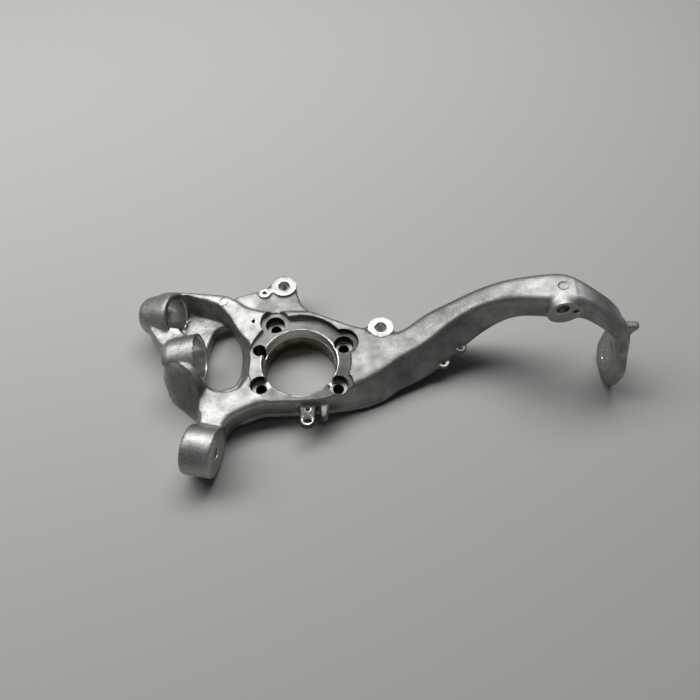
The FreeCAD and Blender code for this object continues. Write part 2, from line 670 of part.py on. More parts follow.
def ear_holes():
    """Machined face of the ear on the arm, the caliper bolt holes and the small ear's hole."""
    blank = cell("blank_height")
    sketch = plan_sketch("upper_ear_face_outline", blank)
    circle(sketch, "ear_diameter", "ear_upper_x", "ear_upper_y")
    pocket("upper_ear_face", sketch, blank + " - " + cell("ear_top"))
    sketch = plan_sketch("ear_hole_outlines", blank)
    circle(sketch, "ear_hole_diameter", "ear_upper_x", "ear_upper_y")
    circle(sketch, "ear_hole_diameter", "ear_lower_x", "ear_lower_y")
    circle(sketch, "small_ear_hole_diameter", "small_ear_x", "small_ear_y")
    pocket("ear_holes", sketch, blank)


def tie_rod_hole():
    """Tie rod hole with its machined face."""
    face, axis, level = tie_rod_frame()
    for name, diameter, depth in (
        ("tie_rod_face", "tie_rod_face_diameter", cell("tie_rod_face_depth")),
        ("tie_rod_hole", "tie_rod_hole_diameter", cell("tie_rod_width") + " + 2"),
    ):
        sketch = new_sketch(name + "_outline", face, level, Vector(0, 0, 1))
        circle(sketch, diameter)
        pocket(name, sketch, depth)


def tab_holes():
    """Threaded hole and locating hole of the bracket tab."""
    x = size("tab_x")
    end = size("tab_end_y")
    sketch = plan_sketch("tab_hole_outlines", cell("tab_top") + " + 1")
    free_circle(sketch, (x, end), "tab_hole_diameter")
    free_circle(sketch, (x, end + size("tab_hole_pitch")), "tab_pin_diameter")
    pocket("tab_holes", sketch, cell("tab_thickness") + " + 2")


def station_frames():
    """Top point and down direction of every arm station."""
    frames = []
    last = len(STATIONS) - 1
    for i, station in enumerate(STATIONS):
        before = STATIONS[max(i - 1, 0)]
        after = STATIONS[min(i + 1, last)]
        tangent = Vector(after[0] - before[0], 0, after[1] - before[1]).normalize()
        frames.append((Vector(station[0], 0, station[1]), Vector(tangent.z, 0, -tangent.x)))
    return frames


def arm():
    """Gooseneck arm as a skin through its stations, each section square to the top line."""
    sections = []
    for i, (top, down) in enumerate(station_frames()):
        depth, far, ridge, near, under, roll = STATIONS[i][2:]
        radius = min(size("section_round"), 0.42 * depth)
        sketch = new_sketch("arm_section_%d" % (i + 1), top, Vector(0, 1, 0), down)
        outline(sketch, (
            (far, -roll / 2, radius), (under, depth, radius),
            (near, depth, radius), (ridge, roll / 2, radius),
        ), 2)
        sections.append(sketch)
    loft("arm", sections)


def upper_lug():
    """Flat lug of the upper ball joint at the end of the arm, standing on its edge."""
    y = size("lug_hole_y")
    sketch = side_sketch("lug_outline", "lug_inner_x")
    outline(sketch, (
        (y + 24, 0, 24), (y + 25, 50, 20), (y + 22, 78, 6), (y - 12, 78, 6),
        (y - 24, 62, 10), (y - 42, 44, 22), (y - 38, 0, 18),
    ))
    pad("upper_lug", sketch, cell("lug_outer_x") + " - " + cell("lug_inner_x"))


def upper_fin():
    """Small triangular fin on the back of the bend, above the upper ball joint."""
    x = size("lug_outer_x")
    z = size("fin_top")
    sketch = long_sketch("fin_outline", "fin_y")
    outline(sketch, ((x - 14, z, 0), (x - 14, z - 27, 0), (x - 3, z - 22, 4),
                     (x + 6, z - 4, 2), (x + 5, z, 1)))
    pad("upper_fin", sketch, cell("fin_width"), reverse=True)


def arm_pad():
    """Round pad on the near side of the arm."""
    sketch = long_sketch("pad_outline", "pad_y")
    circle(sketch, "pad_diameter", "pad_x", "pad_z")
    pad("arm_pad", sketch, cell("pad_height"), reverse=True)


def clip_bosses():
    """Bosses for clips along the arm's lower near edge."""
    for name, centre, top in CLIPS:
        sketch = plan_sketch(name + "_outline", str(top))
        free_circle(sketch, centre, "clip_diameter")
        pad(name, sketch, cell("clip_height"), reverse=True)


def arm_holes():
    """Upper ball joint hole with its machined face, the pad's holes and the clip holes."""
    centre = (size("lug_hole_y"), size("lug_hole_z"))
    through = cell("lug_outer_x") + " - " + cell("lug_inner_x") + " + 1"
    for name, diameter, depth in (
        ("lug_face", "lug_face_diameter", cell("lug_face_depth")),
        ("lug_hole", "lug_hole_diameter", through),
    ):
        sketch = side_sketch(name + "_outline", "lug_inner_x")
        free_circle(sketch, centre, diameter)
        pocket(name, sketch, depth, reverse=True)

    x = size("pad_x")
    z = size("pad_z")
    sketch = long_sketch("pad_hole_outlines", "pad_y")
    free_circle(sketch, (x - 3, z + 6.5), "pad_hole_diameter")
    free_circle(sketch, (x + 13, z + 2.5), "pad_pin_diameter")
    pocket("pad_holes", sketch, cell("pad_hole_depth"))
    for name, centre, top in CLIPS:
        sketch = plan_sketch(name + "_hole_outline", str(top))
        free_circle(sketch, (centre[0], centre[1] - 2), "clip_hole_diameter")
        pocket(name + "_hole", sketch, cell("clip_height") + " + 1")


def check(thing):
    """Stop if an object failed."""
    for flag in ("Invalid", "Error"):
        if flag in thing.State:
            raise RuntimeError("%s is %s" % (thing.Name, flag))


hub_body()
lower_wall()
oval_wall()
near_ledge()
pocket_and_window()
ear_plate()
caliper_ears()
cup_body("rear_cup")
cup_body("front_cup")
oval_face()
tie_rod_lug()
bracket_tab()
face_ring()
arm()
upper_lug()
upper_fin()
arm_pad()
clip_bosses()
hub_machining()
ear_holes()
cup_bore("rear_cup")
cup_bore("front_cup")
tie_rod_hole()
tab_holes()
arm_holes()
body.Placement = App.Placement(Vector(0, 0, 0), App.Rotation())
doc.recompute()

for item in doc.Objects:
    check(item)
shape = body.Shape
if shape.isNull() or not shape.isValid():
    raise RuntimeError("the knuckle's shape is not valid")
print("solids", len(shape.Solids), "volume cm3", round(shape.Volume / 1000, 1), "box", shape.BoundBox)

os.makedirs("parts", exist_ok=True)
shape.exportStep("parts/knuckle.step")
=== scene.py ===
import math

import bmesh
import bpy
import numpy as np
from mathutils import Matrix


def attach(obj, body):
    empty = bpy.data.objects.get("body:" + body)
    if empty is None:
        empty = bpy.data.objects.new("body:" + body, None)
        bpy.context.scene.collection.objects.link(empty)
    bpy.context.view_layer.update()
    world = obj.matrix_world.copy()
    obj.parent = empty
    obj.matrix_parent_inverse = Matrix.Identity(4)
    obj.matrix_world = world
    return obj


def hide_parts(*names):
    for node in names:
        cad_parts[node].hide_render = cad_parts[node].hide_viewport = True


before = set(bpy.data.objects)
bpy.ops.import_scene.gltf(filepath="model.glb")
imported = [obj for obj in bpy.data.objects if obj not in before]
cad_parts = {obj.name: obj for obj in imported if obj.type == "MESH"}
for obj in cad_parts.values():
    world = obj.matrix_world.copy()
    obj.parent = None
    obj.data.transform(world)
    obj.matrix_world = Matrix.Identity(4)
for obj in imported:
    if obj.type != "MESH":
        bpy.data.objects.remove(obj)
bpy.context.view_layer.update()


# The photograph's viewpoint: from above the near side, looking down at the knuckle as it
# lies on its outboard face, with the arm reaching to the right.
camera_data = bpy.data.cameras.new("viewpoint")
camera_data.lens = 30.857
camera_data.sensor_width = 36.0
camera = bpy.data.objects.new("viewpoint", camera_data)
camera.location = (0.0618, -0.3825, 0.6655)
camera.rotation_euler = (math.radians(32.5), 0.0, 0.0)
bpy.context.scene.collection.objects.link(camera)
bpy.context.scene.camera = camera


# The casting: one gravity die casting in aluminium, shot-blasted, then machined where other
# parts seat. Its skin is the solid's own, remeshed finely so that the cast corners melt into
# small fillets while every machined edge keeps its line.
SKIN_STEP = 0.95          # mm, size of the skin's mesh before it is thinned
SKIN_FACES = 186000       # triangles after thinning
KEPT_RINGS = 3            # rings of skin beside a machined face that stay where they are
SMOOTHING = 0.6           # share of the way to its neighbours that a point moves in a round
FILLET_PASSES = 26        # rounds of smoothing, about a 2.5 mm fillet
SADDLE_PASSES = 60        # more rounds in the saddle between the two cups, about 4 mm
SADDLE = (-152, 30, 30)   # mm, middle of that saddle
SADDLE_REACH = 38         # mm from its middle to where the saddle ends
SADDLE_FADE = 12          # mm over which its smoothing fades in
SHARP_ANGLE = 38          # degrees between faces from which an edge shows sharp


def heading(turn, rise):
    """Unit vector that looks turn degrees from +X about +Z and rise degrees up."""
    level = math.cos(math.radians(rise))
    return (level * math.cos(math.radians(turn)), level * math.sin(math.radians(turn)),
            math.sin(math.radians(rise)))


# Machined regions as cylinders, in millimetres as the part is drawn: centre, axis, from and to
# along the axis, radius, finish. Each is a little larger than the feature, to take its edge in.
# "turned" is the recess round the hub bore, "hub" the bore, "rim" the bright edges of its steps.
UP, ARM_WAY, FAR_WAY = (0, 0, 1), (1, 0, 0), (0, 1, 0)
LOW, HIGH = -1, 60                               # below and above all that faces up
SEAT, EAR_FACE = 38.4, 43.4                      # just under the seat and the ears' faces
TIE_ROD, TIE_ROD_WAY = (-88.28, -116.21, 29.5), heading(-10, 0)
LUG, PAD = (381.5, 20, 25), (308.5, 24, 106)
SMALL_EAR, SMALL_EAR_WAY = (-50, 102.6, 0), (0.908, 0.419, 0)
REAR_CUP = ((-158.7, 67.6, 40.0), -9, 13, 23, 32)     # mouth, turn, rise, bore radius, depth
FRONT_CUP = ((-119.8, 2.6, 44.0), 5, 7, 25, 20)       # the depth is that of the filled floor
FINISHES = ("cast", "milled", "turned", "bored", "dark_bored", "hub", "rim")
MACHINED = [
    ((0, 0, 0), UP, SEAT, HIGH, 64.2, "turned"),
    ((0, 0, 0), UP, LOW, HIGH, 47.8, "hub"),
    ((0, 0, 0), UP, 26.5, 27.6, 46.6, "rim"),
    ((0, 0, 0), UP, 37.5, 39.5, 47.8, "rim"),
    ((-50.4, 16.1, 0), UP, 11.3, HIGH, 8.0, "dark_bored"),          # sensor slot and its screw
    ((-59.7, 54.5, 0), UP, 29, HIGH, 3.2, "bored"),
    (SMALL_EAR, UP, EAR_FACE, HIGH, 8.6, "milled"),
    ((-50, 102.6, 44), SMALL_EAR_WAY, 0, 27.2, 5.0, "milled"),
    (SMALL_EAR, UP, LOW, HIGH, 3.2, "bored"),
    (TIE_ROD, TIE_ROD_WAY, -1.4, 0.4, 18, "milled"),
    (TIE_ROD, TIE_ROD_WAY, -60, 2, 7.2, "bored"),
    (LUG, ARM_WAY, -1, 1.4, 20.6, "milled"),
    (LUG, ARM_WAY, -1, 20, 10.7, "bored"),
    (PAD, FAR_WAY, -1, 0.6, 20.2, "milled"),
    ((305.5, 24, 112.5), FAR_WAY, -1, 27, 7.9, "bored"),
    ((321.5, 24, 108.5), FAR_WAY, -1, 27, 4.1, "bored"),
    ((12, -74, 0), UP, 20, 31, 6.6, "bored"),                  # bracket tab
    ((12, -60, 0), UP, 20, 31, 3.6, "bored"),
    ((179, 9, 0), UP, 23.4, 24.6, 8.1, "milled"),              # clip bosses
    ((200, 24, 0), UP, 35.4, 36.6, 8.1, "milled"),
    ((179, 7, 0), UP, 13, 24.6, 3.1, "bored"),
    ((200, 22, 0), UP, 25, 36.6, 3.1, "bored"),
]
for x, y, lobe in ((54, 25, True), (-33, 54, True), (-45.5, -33, False), (48, -32, True)):
    MACHINED.append(((x, y, 0), UP, LOW, HIGH, 12.2, "dark_bored"))
    if lobe:
        MACHINED.append(((x, y, 0), UP, SEAT, HIGH, 18.7, "turned"))
for x, y in ((100.6, 47.7), (-25.3, 114)):
    MACHINED.append(((x, y, 0), UP, EAR_FACE, HIGH, 17.2, "milled"))
    MACHINED.append(((x, y, 0), UP, LOW, HIGH, 8.1, "bored"))
for mouth, turn, rise, bore, depth in (REAR_CUP, FRONT_CUP):
    way = heading(turn, rise)
    MACHINED.append((mouth, way, -depth - 0.7, 2, bore + 1.1, "bored"))
    MACHINED.append((mouth, way, -26 - depth, 0, 10.7, "bored"))
    MACHINED.append((mouth, way, -0.7, 12, bore + 6.0, "milled"))


def machined_kind(points):
    """Index of the finish at each point in millimetres, 0 for cast skin.

    A point is machined when it lies inside one of the cylinders: its distance along the
    axis is between the two ends and its distance from the axis is within the radius.
    Where cylinders overlap, the finish that comes later in FINISHES holds. The outboard
    face, on which the part lies, is milled.
    """
    kind = np.where(points[:, 2] < 0.5, 1, 0)
    for centre, axis, start, end, radius, finish in MACHINED:
        axis = np.array(axis, float)
        offset = points - np.array(centre, float)
        along = offset @ axis
        away = np.linalg.norm(offset - along[:, None] * axis, axis=1)
        inside = (along > start) & (along < end) & (away < radius)
        kind[inside] = np.maximum(kind[inside], FINISHES.index(finish))
    return kind


def neighbour_mean(points, edges, count):
    """Mean of each point's neighbours along the mesh's edges."""
    total = np.empty_like(points)
    for k in range(3):
        total[:, k] = (np.bincount(edges[:, 0], points[edges[:, 1], k], len(points))
                       + np.bincount(edges[:, 1], points[edges[:, 0], k], len(points)))
    return total / count[:, None]


def evaluated(thing):
    """Mesh of an object with its modifiers applied."""
    graph = bpy.context.evaluated_depsgraph_get()
    return bpy.data.meshes.new_from_object(thing.evaluated_get(graph))


def line_distance(points, corners):
    """Distance from each point to a run of straight lines through the corners."""
    best = np.full(len(points), 1e9)
    for start, end in zip(corners, corners[1:]):
        start, end = np.array(start, float), np.array(end, float)
        run = end - start
        share = np.clip((points - start) @ run / (run @ run), 0, 1)
        best = np.minimum(best, np.linalg.norm(points - start - share[:, None] * run, axis=1))
    return best


def casting_marks(points, normals):
    """Height in millimetres that the die left on the skin at each point.

    At the distance d from its middle an ejector's round print of radius r is
    0.35 (1 - tanh((d - r) / 0.7)) low, with a rim 0.45 exp(-((d - r - 0.6) / 0.7)^2) high.
    A parting line is a ridge h exp(-(d / w)^2) over the distance d from its run, a dent or
    scuff the same with h below 0, and a boss a dome h exp(-(d / w)^2).
    """
    lift = np.zeros(len(points))
    upward = normals[:, 2] > 0.5
    radius = 5.6
    for place in ((-100.1, 83.4), (306.8, 49.6)):
        away = np.linalg.norm(points[:, :2] - place, axis=1)
        print_here = -0.35 * (1 - np.tanh((away - radius) / 0.7))
        rim = 0.45 * np.exp(-((away - radius - 0.6) / 0.7) ** 2)
        lift += np.where(upward & (points[:, 2] > 30), print_here + rim, 0)

    near = normals[:, 1] < -0.25
    seam = ((200, 70), (227, 82.5), (250, 91), (275, 98.7), (292, 101))
    away = line_distance(points[:, [0, 2]], seam)
    lift += np.where(near, 0.4 * np.exp(-(away / 1.1) ** 2), 0)
    seam = ((328, 112), (341, 112), (354, 107), (367, 94), (376, 78), (381, 60))
    away = line_distance(points[:, [0, 2]], seam)
    lift += np.where(near & (points[:, 0] > 322), 0.5 * np.exp(-(away / 1.1) ** 2), 0)

    for start, end, high, wide in (
        ((319.7, 68.0), (318.9, 31.0), 0.2, 1.6),
        ((226.0, 60.0), (238.0, 47.0), -0.12, 0.9),
        ((232.0, 58.0), (236.0, 52.0), 0.12, 0.9),
        ((124.0, 12.0), (133.0, 3.5), -0.15, 0.9),
        ((107.0, 1.0), (114.0, -5.0), -0.15, 0.9),
        ((-90.0, 84.0), (-70.0, 80.0), 0.25, 1.2),
    ):
        away = line_distance(points[:, :2], (start, end))
        lift += np.where(upward, high * np.exp(-(away / wide) ** 2), 0)
    boss = (305.7, 76.7, 120.0)
    away = np.linalg.norm(points - boss, axis=1)
    return lift + 1.2 * np.exp(-(away / 3.5) ** 2)


BORE_END, STUD_RADIUS = 30.8, 10.0      # mm, just behind the front bore's end, its stud hole
OVAL, OVAL_WAY = (-133.7, -40.1, 33.0), heading(-128.4, 23.6)     # the flat oval face


def cup_floor(data):
    """Add the floor of the front cup's bore to a mesh, so that its wall is whole.

    A ring with a rectangular section: at the turn a, the depth d and the radius r a point lies
    at mouth - d axis + r (cos a side + sin a upward). It reaches from the bore's radius in to
    the stud hole's, and from the depth of the floor to just behind the bore's end. It is cut
    off along the flat oval face below the cup.
    """
    mouth, turn, rise, bore, floor_depth = FRONT_CUP
    axis = np.array(heading(turn, rise))
    side = np.cross(axis, UP)
    side /= np.linalg.norm(side)
    upward = np.cross(side, axis)
    outside, around = bore + 0.6, 72
    a = np.linspace(0, 2 * math.pi, around, endpoint=False)
    circle = np.outer(np.cos(a), side) + np.outer(np.sin(a), upward)
    depth = np.array((floor_depth, BORE_END, BORE_END, floor_depth))[:, None, None]
    radius = np.array((outside, outside, STUD_RADIUS, STUD_RADIUS))[:, None, None]
    points = (np.array(mouth) - depth * axis + radius * circle) / 1000
    here = np.arange(4 * around).reshape(4, around)
    beside = np.roll(here, -1, 0)
    faces = np.stack([here, np.roll(here, -1, 1), np.roll(beside, -1, 1), beside], 2)
    ring = bpy.data.meshes.new("cup_floor")
    ring.from_pydata(points.reshape(-1, 3).tolist(), [], faces.reshape(-1, 4).tolist())
    shape = bmesh.new()
    shape.from_mesh(ring)
    bpy.data.meshes.remove(ring)
    just_inside = (np.array(OVAL) - 0.1 * np.array(OVAL_WAY)) / 1000
    bmesh.ops.bisect_plane(shape, geom=shape.verts[:] + shape.edges[:] + shape.faces[:],
                           plane_co=just_inside, plane_no=OVAL_WAY, clear_outer=True)
    bmesh.ops.holes_fill(shape, edges=[edge for edge in shape.edges if edge.is_boundary])
    bmesh.ops.recalc_face_normals(shape, faces=shape.faces)
    shape.from_mesh(data)
    shape.to_mesh(data)
    shape.free()


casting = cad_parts["knuckle"].copy()
casting.data = casting.data.copy()
casting.name = "casting"
casting.parent = None
for key in list(casting.keys()):
    del casting[key]
bpy.context.scene.collection.objects.link(casting)
cup_floor(casting.data)
weld = casting.modifiers.new("weld", "WELD")
weld.merge_threshold = 0.00001
remesh = casting.modifiers.new("skin", "REMESH")
remesh.mode = "VOXEL"
remesh.voxel_size = SKIN_STEP / 1000
skin = evaluated(casting)
casting.modifiers.clear()

count = len(skin.vertices)
points = np.empty(count * 3, np.float32)
skin.vertices.foreach_get("co", points)
points = points.reshape(-1, 3).astype(float) * 1000
edges = np.empty(len(skin.edges) * 2, np.int32)
skin.edges.foreach_get("vertices", edges)
edges = edges.reshape(-1, 2)
valence = np.maximum(np.bincount(edges.ravel(), minlength=count), 1)
free = (machined_kind(points) == 0).astype(float)
for _ in range(KEPT_RINGS):
    free = np.minimum(free, neighbour_mean(np.repeat(free[:, None], 3, 1), edges, valence)[:, 0])
share = SMOOTHING * free[:, None]
for _ in range(FILLET_PASSES):
    points += share * (neighbour_mean(points, edges, valence) - points)
saddle = (SADDLE_REACH - np.linalg.norm(points - SADDLE, axis=1)) / SADDLE_FADE
saddle = np.clip(saddle, 0, 1)[:, None]
for _ in range(SADDLE_PASSES):
    points += share * saddle * (neighbour_mean(points, edges, valence) - points)
skin.vertices.foreach_set("co", (points / 1000).astype(np.float32).ravel())
skin.update()
normals = np.empty(count * 3, np.float32)
skin.vertex_normals.foreach_get("vector", normals)
normals = normals.reshape(-1, 3).astype(float)
lift = casting_marks(points, normals) * np.minimum(free * 2, 1)
points += normals * lift[:, None]
skin.vertices.foreach_set("co", (points / 1000).astype(np.float32).ravel())
casting.data = skin
thin = casting.modifiers.new("thin", "DECIMATE")
triangles = sum(len(face.vertices) - 2 for face in skin.polygons)
thin.ratio = min(1.0, SKIN_FACES / triangles)
casting.data = evaluated(casting)
casting.modifiers.clear()

faces = casting.data.polygons
centres = np.empty(len(faces) * 3, np.float32)
faces.foreach_get("center", centres)
finish = machined_kind(centres.reshape(-1, 3).astype(float) * 1000)
casting.data.materials.clear()


# Finishes: each is aluminium of the same casting, told apart by how its surface was made.
def linear(code):
    """An sRGB hex colour as linear light, with alpha 1."""
    parts = [int(code[i:i + 2], 16) / 255 for i in (1, 3, 5)]
    return [p / 12.92 if p <= 0.04045 else ((p + 0.055) / 1.055) ** 2.4 for p in parts] + [1.0]


def add(tree, kind, links=None, stops=(), **settings):
    """Add one node; settings name its properties or sockets, links name its input sockets.

    What a link gives a socket is another node's output or a fixed value. The stops of a
    colour ramp are each a position and an sRGB hex colour, in rising order.
    """
    node = tree.nodes.new(kind)
    for key, value in settings.items():
        if hasattr(node, key):
            setattr(node, key, value)
        else:
            node.inputs[key.replace("_", " ")].default_value = value
    for socket, source in (links or {}).items():
        if isinstance(source, bpy.types.NodeSocket):
            tree.links.new(source, node.inputs[socket])
        else:
            node.inputs[socket].default_value = source
    if stops:
        elements = node.color_ramp.elements
        elements[0].position = stops[0][0]
        elements[-1].position = stops[-1][0]
        for position, code in stops[1:-1]:
            elements.new(position)
        for element, (position, code) in zip(elements, stops):
            element.color = linear(code)
    return node


def metal(name, colour, roughness):
    """A metal with its node tree and shader; a pattern may take the colour's place."""
    material = bpy.data.materials.new(name)
    material.use_nodes = True
    tree = material.node_tree
    shader = tree.nodes["Principled BSDF"]
    shader.inputs["Base Color"].default_value = linear(colour)
    shader.inputs["Metallic"].default_value = 1.0
    shader.inputs["Roughness"].default_value = roughness
    return material, tree, shader


def grooves(tree, place, pitch, strength):
    """Normal of fine turning grooves round the hub's axis: a sine of the radius."""
    flat = add(tree, "ShaderNodeVectorMath", {0: place, 1: (1.0, 1.0, 0.0)}, operation="MULTIPLY")
    radius = add(tree, "ShaderNodeVectorMath", {0: flat.outputs[0]}, operation="LENGTH")
    turns = add(tree, "ShaderNodeMath", {0: radius.outputs["Value"], 1: 2 * math.pi / pitch},
                operation="MULTIPLY")
    wave = add(tree, "ShaderNodeMath", {0: turns.outputs[0]}, operation="SINE")
    return add(tree, "ShaderNodeBump", {"Height": wave.outputs[0]},
               Strength=strength, Distance=0.0001).outputs["Normal"]


SHARE, UNDER, OVER, MIXED = 0, 6, 7, 2      # a colour mix's three inputs and its output

# A356 aluminium, gravity cast and shot-blasted: satin, with patches of tone some 24 mm across
# (42 to the metre), speckle of 2.4 mm that is strong on the lower end beyond X = -0.1 m, and
# the blasted grain of 0.7 mm, drawn coarser than real so that it shows. Painted light and shade
# lie along it: the lower end is left lightest and the root of the arm darkest. Painted shade
# darkens the plate of the caliper ears and the flat oval face, and the bracket tab is darker.
cast, tree, shader = metal("shot_blasted_cast_aluminium", "#a9a9a6", 0.48)
place = add(tree, "ShaderNodeTexCoord").outputs["Object"]
patches = add(tree, "ShaderNodeTexNoise", {"Vector": place},
              Scale=42.0, Detail=5.0, Roughness=0.62).outputs["Fac"]
speckle = add(tree, "ShaderNodeTexNoise", {"Vector": place}, Scale=420.0, Detail=3.0).outputs["Fac"]
grain = add(tree, "ShaderNodeTexNoise", {"Vector": place}, Scale=1500.0, Detail=2.0).outputs["Fac"]
apart = add(tree, "ShaderNodeSeparateXYZ", {"Vector": place})
tone = add(tree, "ShaderNodeValToRGB", {"Fac": patches},
           ((0.32, "#8b8b88"), (0.64, "#b3b3b0"))).outputs["Color"]
spots = add(tree, "ShaderNodeValToRGB", {"Fac": speckle},
            ((0.3, "#4a4842"), (0.46, "#ffffff"))).outputs["Color"]
lower_end = add(tree, "ShaderNodeMapRange", {"Value": apart.outputs["X"]},
                From_Min=-0.085, From_Max=-0.125, To_Min=0.1, To_Max=0.6)
tone = add(tree, "ShaderNodeMix", {SHARE: lower_end.outputs["Result"], UNDER: tone, OVER: spots},
           data_type="RGBA", blend_type="MULTIPLY").outputs[MIXED]
# Painted light and shade along the part: the base colour is left whole up to X = -0.05 m, is
# darkest from X = 0.1 to 0.2 m at the root of the arm, and is lighter again beyond.
along = add(tree, "ShaderNodeMapRange", {"Value": apart.outputs["X"]},
            From_Min=-0.2, From_Max=0.4, To_Min=0.0, To_Max=1.0)
painted_light_and_shade_along_x = add(tree, "ShaderNodeValToRGB", {"Fac": along.outputs["Result"]},
           ((0.25, "#ffffff"), (0.38, "#e7e7e7"), (0.5, "#cdcdcd"), (0.66, "#cdcdcd"),
            (0.78, "#ececec"))).outputs["Color"]
tone = add(tree, "ShaderNodeMix", {SHARE: 1.0, UNDER: tone, OVER: painted_light_and_shade_along_x},
           data_type="RGBA", blend_type="MULTIPLY").outputs[MIXED]
# Darkened patches: painted shade on the plate of the caliper ears and on the flat oval face, and a
# darker patch on the bracket tab.
for centre, inner, outer, amount in (
    ((0.014, -0.072, 0.028), 0.014, 0.022, 0.85),        # bracket tab
    ((-0.012, 0.104, 0.041), 0.022, 0.052, 0.45),        # plate of the caliper ears
    ((-0.1337, -0.0401, 0.033), 0.024, 0.036, 0.6),      # flat oval face
):
    away = add(tree, "ShaderNodeVectorMath", {0: place, 1: centre}, operation="DISTANCE")
    darkened_patch = add(tree, "ShaderNodeMapRange", {"Value": away.outputs["Value"]},
               From_Min=inner, From_Max=outer, To_Min=amount, To_Max=0.0)
    dark = {SHARE: darkened_patch.outputs["Result"], UNDER: tone, OVER: linear("#3c3a36")}
    tone = add(tree, "ShaderNodeMix", dark, data_type="RGBA").outputs[MIXED]
tree.links.new(tone, shader.inputs["Base Color"])
rough = add(tree, "ShaderNodeMapRange", {"Value": patches},
            From_Min=0.3, From_Max=0.7, To_Min=0.54, To_Max=0.4)
tree.links.new(rough.outputs["Result"], shader.inputs["Roughness"])
waves = add(tree, "ShaderNodeBump", {"Height": patches}, Strength=0.5, Distance=0.0012)
dimples = add(tree, "ShaderNodeBump", {"Height": speckle, "Normal": waves.outputs["Normal"]},
              Strength=0.4, Distance=0.0004)
blasted = add(tree, "ShaderNodeBump", {"Height": grain, "Normal": dimples.outputs["Normal"]},
              Strength=0.5, Distance=0.0003)
tree.links.new(blasted.outputs["Normal"], shader.inputs["Normal"])

# The faces that other parts seat on, milled, and the holes, bored brighter and smoother: both
# with marks too fine to see, so only a grain of 0.7 mm breaks their shine.
milled, tree, shader = metal("milled_aluminium", "#9c9c99", 0.38)
place = add(tree, "ShaderNodeTexCoord").outputs["Object"]
grain = add(tree, "ShaderNodeTexNoise", {"Vector": place}, Scale=1400.0, Detail=2.0).outputs["Fac"]
cut = add(tree, "ShaderNodeBump", {"Height": grain}, Strength=0.25, Distance=0.0002)
tree.links.new(cut.outputs["Normal"], shader.inputs["Normal"])

bored, tree, shader = metal("bored_aluminium", "#dddcd8", 0.3)
place = add(tree, "ShaderNodeTexCoord").outputs["Object"]
grain = add(tree, "ShaderNodeTexNoise", {"Vector": place}, Scale=1400.0, Detail=2.0).outputs["Fac"]
cut = add(tree, "ShaderNodeBump", {"Height": grain}, Strength=0.15, Distance=0.0002)
tree.links.new(cut.outputs["Normal"], shader.inputs["Normal"])

# The bolt holes' counterbores and the sensor slot: bored, in a darker colour.
dark_bored, tree, shader = metal("dark_counterbore_aluminium", "#74716b", 0.34)

# The turned recess: grooves every 0.7 mm, dulled by handling in smears 17 mm across, and
# painted shade that darkens it toward the arm.
turned, tree, shader = metal("turned_aluminium", "#b3b3b1", 0.42)
place = add(tree, "ShaderNodeTexCoord").outputs["Object"]
apart = add(tree, "ShaderNodeSeparateXYZ", {"Vector": place})
smears = add(tree, "ShaderNodeTexNoise", {"Vector": place}, Scale=60.0, Detail=3.0).outputs["Fac"]
tone = add(tree, "ShaderNodeValToRGB", {"Fac": smears},
           ((0.3, "#767674"), (0.66, "#a2a29f"))).outputs["Color"]
# Painted shade: the recess darkens toward the arm, from X = 0 to 0.052 m.
painted_shade_toward_arm = add(tree, "ShaderNodeMapRange", {"Value": apart.outputs["X"]},
              From_Min=0.0, From_Max=0.052, To_Min=0.05, To_Max=0.8)
dark = {SHARE: painted_shade_toward_arm.outputs["Result"], UNDER: tone, OVER: linear("#33312e")}
tone = add(tree, "ShaderNodeMix", dark, data_type="RGBA").outputs[MIXED]
tree.links.new(tone, shader.inputs["Base Color"])
tree.links.new(grooves(tree, place, 0.0007, 0.5), shader.inputs["Normal"])

# The hub bore: turned bright, with a film of dried oil that browns it below the step
# at Z = 27 mm and runs in level bands 4 mm high.
hub, tree, shader = metal("oiled_bore_aluminium", "#b9b4a8", 0.3)
place = add(tree, "ShaderNodeTexCoord").outputs["Object"]
apart = add(tree, "ShaderNodeSeparateXYZ", {"Vector": place})
squashed = add(tree, "ShaderNodeVectorMath", {0: place, 1: (1.0, 1.0, 8.0)}, operation="MULTIPLY")
bands = add(tree, "ShaderNodeTexNoise", {"Vector": squashed.outputs[0]}, Scale=32.0, Detail=3.0)
film = add(tree, "ShaderNodeValToRGB", {"Fac": bands.outputs["Fac"]},
           ((0.36, "#7d6746"), (0.62, "#a39a86"))).outputs["Color"]
below = add(tree, "ShaderNodeMapRange", {"Value": apart.outputs["Z"]},
            From_Min=0.0265, From_Max=0.0275, To_Min=1.0, To_Max=0.0)
brown = {SHARE: below.outputs["Result"], UNDER: linear("#b9b6ae"), OVER: film}
tone = add(tree, "ShaderNodeMix", brown, data_type="RGBA").outputs[MIXED]
tree.links.new(tone, shader.inputs["Base Color"])

# One material for each of FINISHES, in its order.
for material in (cast, milled, turned, bored, dark_bored, hub, bored):
    casting.data.materials.append(material)
faces.foreach_set("material_index", finish.astype(np.int32))
faces.foreach_set("use_smooth", np.ones(len(faces), bool))
casting.data.set_sharp_from_angle(angle=math.radians(SHARP_ANGLE))
casting.data.update()
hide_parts("knuckle")
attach(casting, "root")


